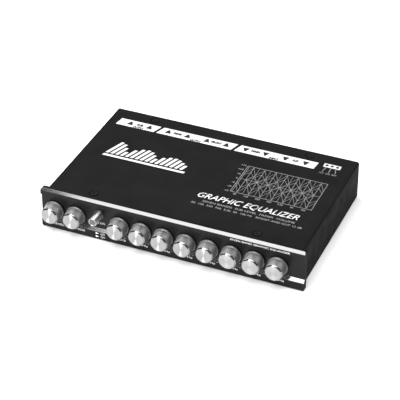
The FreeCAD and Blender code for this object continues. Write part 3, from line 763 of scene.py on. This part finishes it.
def draw_emblem(ink):
    """A plain emblem: a row of leaning level bars over a thick rule."""
    count = 16
    pitch = 3.5
    width = 2.1
    lean = 0.35
    base = 52.4
    for number in range(count):
        across = -70.6 + pitch * number
        swing = abs(math.cos(math.pi * number / (count - 1) * 2.5))
        height = 5.2 + (9.5 - 0.35 * number) * swing
        ink.area([(across, base), (across + width, base),
                  (across + width + lean * height, base + height),
                  (across + lean * height, base + height)])
    ink.area([(-71.4, 48.9), (-13.6, 48.9), (-12.9, 50.9), (-70.7, 50.9)])


# Left end (front, rear) and right end (front, rear) of each white strip, in millimetres.
STRIPS = [
    ((-79.4, -78.2), (-51.7, -49.2)),
    ((-49.7, -47.0), (4.0, 6.3)),
    ((6.2, 8.7), (61.7, 62.5)),
]
STRIP_FRONT = 86.8
STRIP_REAR = 94.6

# Ten sockets in a row: outputs from the left, then inputs, and a word for each pair.
SOCKETS = 10
OUTPUTS = 6
SOCKET_WORDS = ["SUB", "REAR", "FRONT", "MAIN", "AUX"]


def draw_socket_strips(white, black):
    """White strips with a black arrow for each phono socket: out to the rear, or in from it."""
    for (left_front, left_rear), (right_front, right_rear) in STRIPS:
        white.area([(left_front, STRIP_FRONT), (right_front, STRIP_FRONT),
                    (right_rear, STRIP_REAR), (left_rear, STRIP_REAR)])
    black.lift = INK
    centre, step, _ = socket_row("jack_barrels")
    first = centre.x / MM
    pitch = step / MM
    half_base = 2.3
    half_tip = 0.5
    middle = 90.9
    for number in range(SOCKETS):
        x = first + pitch * number
        point = 1 if number < OUTPUTS else -1
        base = middle - 1.9 * point
        tip = middle + 2.2 * point
        black.area([(x - half_base, base), (x + half_base, base),
                    (x + half_tip, tip), (x - half_tip, tip)])
    for pair, words in enumerate(SOCKET_WORDS):
        x = first + pitch * (2 * pair + 0.5)
        black.text(words, x, 89.9, 2.2, width=1.5 * len(words), align="CENTER", weight=0.08)
    for place, words in ((0.5, "OUTPUT"), (3.5, "OUTPUT"), (7.5, "INPUT")):
        black.text(words, first + pitch * place, 87.0, 1.8, width=1.3 * len(words),
                   align="CENTER", weight=0.07)


def draw_power_mark(white, grey, black):
    """The power inlet's picture: a white block with three holes, and a lead to each label."""
    left, right, low, high = 66.4, 77.8, 91.8, 95.8
    white.area([(left, low), (right, low), (right, high), (left, high)])
    hole = 1.15
    sides = 20
    for x, foot, words in ((68.4, 67.9, "12V"), (72.0, 72.1, "GND"), (75.6, 76.4, "REM")):
        ring = []
        for step in range(sides):
            angle = math.tau * step / sides
            ring.append((x + hole * math.cos(angle), 93.9 + hole * math.sin(angle)))
        black.area(ring)
        grey.line([(x, 91.6), (x, 89.4), (foot, 87.8), (foot, 86.2)], 0.36)
        grey.text(words, foot, 83.8, 1.4, align="CENTER", width=3.0)


def make_top_print():
    """Everything printed on the cover."""
    origin = Vector((0, PANEL_BACK, COVER_TOP))
    plane = ((1, 0, 0), (0, 1, 0), (0, 0, 1))
    white = Print("cover_print_white", *plane, origin)
    grey = Print("cover_print_grey", *plane, origin)
    black = Print("cover_print_black", *plane, origin)
    draw_socket_strips(white, black)
    draw_power_mark(white, grey, black)
    draw_graph(grey)
    draw_emblem(white)
    white.text("GRAPHIC EQUALIZER", 4.6, 28.9, 5.3, width=67.5, lean=0.32, weight=0.008)
    grey.text("SEVEN BANDS  SUB LEVEL  FADER  VOLUME", 10.0, 24.6, 1.7, width=61.5)
    grey.text("50  125  320  750  2.2k  6k  16k Hz   BOOST AND CUT 12 dB", 3.8, 21.0, 1.7,
              width=73.5)
    white.finish(white_ink, ROOT, "case_paint")
    grey.finish(grey_ink, ROOT, "case_paint")
    black.finish(black_ink, ROOT, "case_paint")


# Words under the first controls, with their widths; the band controls carry their frequencies.
KNOB_WORDS = {
    "sub_level": ("SUB LEVEL", 13.6),
    "fader": ("FRONT-REAR", 12.6),
    "volume": ("VOLUME", 8.8),
}
BAND_WORDS_WIDTH = 9.2


def make_front_print():
    """Everything printed on the faceplate."""
    plane = ((1, 0, 0), (0, 0, 1), (0, -1, 0))
    bold = 0.004
    rails = Print("panel_print", *plane, Vector((0, RAIL_FACE, 0)))
    for control in CONTROLS:
        centre = control_centre(f"knob_{control}").x / MM
        if control in KNOB_WORDS:
            words, width = KNOB_WORDS[control]
        else:
            words, width = BANDS[int(control[-1]) - 1] + " Hz", BAND_WORDS_WIDTH
        rails.text(words, centre, 3.85, 1.5, width=width, align="CENTER", weight=bold)
    rails.text("SEVEN BAND GRAPHIC EQUALIZER", 40.6, 25.6, 1.25, width=39.0)
    button = control_centre("button_ring").x / MM
    for height, words in ((4.2, "ON"), (1.9, "OFF")):
        rails.area([(button - 2.2, height), (button + 0.1, height + 0.75), (button - 2.2, height + 1.5)])
        rails.text(words, button + 1.2, height + 0.1, 1.3, weight=bold)
    rails.finish(panel_ink, ROOT, "panel_black")

    recess = Print("recess_print", *plane, Vector((0, RECESS_FACE, 0)))
    recess.text("SUB ON", button, 11.6, 1.5, align="CENTER", weight=bold)
    recess.finish(panel_ink, ROOT, "panel_black")


# ---------------------------------------------------------------- rear sockets

def socket_row(node):
    """The first socket's centre, the pitch and the radius of a node that has ten in a row."""
    low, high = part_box(node)
    radius = (high.z - low.z) / 2
    pitch = (high.x - low.x - 2 * radius) / (SOCKETS - 1)
    return Vector((low.x + radius, low.y, low.z + radius)), pitch, radius


def make_phono_inserts():
    """Red and white inserts in the phono sockets: white on the left channel, red on the right."""
    low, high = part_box("jack_insulators")
    first, pitch, radius = socket_row("jack_insulators")
    outer = radius / MM
    depth = (high.y - low.y) / MM
    hole = 1.7
    profile = rounded_profile([
        (0, 0, 0),
        (outer, 0, 0),
        (outer, depth, 0.35),
        (hole, depth, 0.35),
        (hole, 0.4, 0),
        (0, 0.4, 0),
    ])
    for number in range(SOCKETS):
        mesh = mesh_from("insert", lambda work: add_turned(work, profile, segments=64))
        insert = add_object(f"phono_insert_{number + 1}", mesh, first + Vector((pitch * number, 0, 0)))
        smooth(insert, 35)
        finish_piece(insert, ROOT, [socket_red if number % 2 else socket_white],
                     "white_plastic", "jack_insulators")


def make_phono_barrels():
    """The plated outer contacts, each with a rolled lip and a shoulder at its foot."""
    low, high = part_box("jack_barrels")
    first, pitch, radius = socket_row("jack_barrels")
    outer = radius / MM
    length = (high.y - low.y) / MM
    profile = rounded_profile([
        (outer - 0.7, 0, 0),
        (outer, 0, 0),
        (outer, 1.05, 0.06),
        (outer - 0.12, 1.15, 0),
        (outer - 0.12, 1.5, 0),
        (outer, 1.6, 0.06),
        (outer, length, 0.45),
        (outer - 0.7, length, 0.22),
    ])

    def row(work):
        for number in range(SOCKETS):
            add_turned(work, profile, first + Vector((pitch * number, 0, 0)), segments=72)

    barrels = add_object("phono_barrels", mesh_from("phono_barrels", row))
    smooth(barrels, 35)
    finish_piece(barrels, ROOT, [nickel], "nickel_plate", "jack_barrels")


# ---------------------------------------------------------------- surroundings

def make_floor():
    """A plain pale table top."""
    half = 6.0
    thickness = 20 * MM
    gap = 0.05 * MM
    mesh = mesh_from("floor", lambda work: add_prism(
        work, [(-half, -half), (half, -half), (half, half), (-half, half)], -thickness, -gap))
    floor = add_object("floor", mesh)
    finish = Finish("floor_paint", (0.9, 0.9, 0.9), 0.7, specular=0.2)
    finish.rough(finish.noise(3, 3), 0.62, 0.78)
    floor.data.materials.append(finish.material)


def add_softbox(name, place, aim, size, power):
    """A rectangular area light that faces a point."""
    lamp = bpy.data.lights.new(name, "AREA")
    lamp.shape = "RECTANGLE"
    lamp.size, lamp.size_y = size
    lamp.energy = power
    box = bpy.data.objects.new(name, lamp)
    box.location = place
    box.rotation_euler = (Vector(aim) - Vector(place)).to_track_quat("-Z", "Y").to_euler()
    bpy.context.scene.collection.objects.link(box)


def make_lights():
    """A large box overhead, and boxes in front and at the left that the bright parts mirror."""
    target = (0, 0, 0.02)
    add_softbox("overhead_softbox", (0.02, -0.25, 0.95), (0.02, -0.24, 0), (0.98, 1.2), 20)
    add_softbox("front_softbox", (-0.29, -1.0, 0.8), target, (0.4, 0.45), 4.4)
    add_softbox("upper_strip", (-0.62, -1.0, 1.2), target, (0.3, 0.4), 2.6)
    add_softbox("low_strip", (-0.36, -1.24, 0.2), target, (0.2, 0.32), 15)
    add_softbox("left_softbox", (-0.9, 0.35, 0.72), target, (0.5, 0.5), 8)
    world = bpy.data.worlds.new("studio")
    world.use_nodes = True
    background = world.node_tree.nodes["Background"]
    background.inputs["Color"].default_value = (1, 1, 1, 1)
    background.inputs["Strength"].default_value = 0.21
    bpy.context.scene.world = world
    bpy.context.scene.view_settings.view_transform = "Standard"


def make_camera():
    """The camera stands in front, to the right and above, with a long lens."""
    turn = math.radians(23.01)
    rise = math.radians(34.68)
    lens = bpy.data.cameras.new("camera")
    lens.lens = 146.8
    lens.sensor_width = 36
    camera = bpy.data.objects.new("camera", lens)
    camera.location = (0.3370, -0.7488 + PANEL_BACK, 0.6092)
    camera.rotation_euler = (math.pi / 2 - rise, 0, turn)
    bpy.context.scene.collection.objects.link(camera)
    bpy.context.scene.camera = camera


# ---------------------------------------------------------------- the whole scene

dress_cad_nodes()
make_faceplate()
for control in CONTROLS:
    make_knob(control)
make_button()
make_button_trim()
make_top_print()
make_front_print()
make_phono_barrels()
make_phono_inserts()
make_floor()
make_lights()
make_camera()
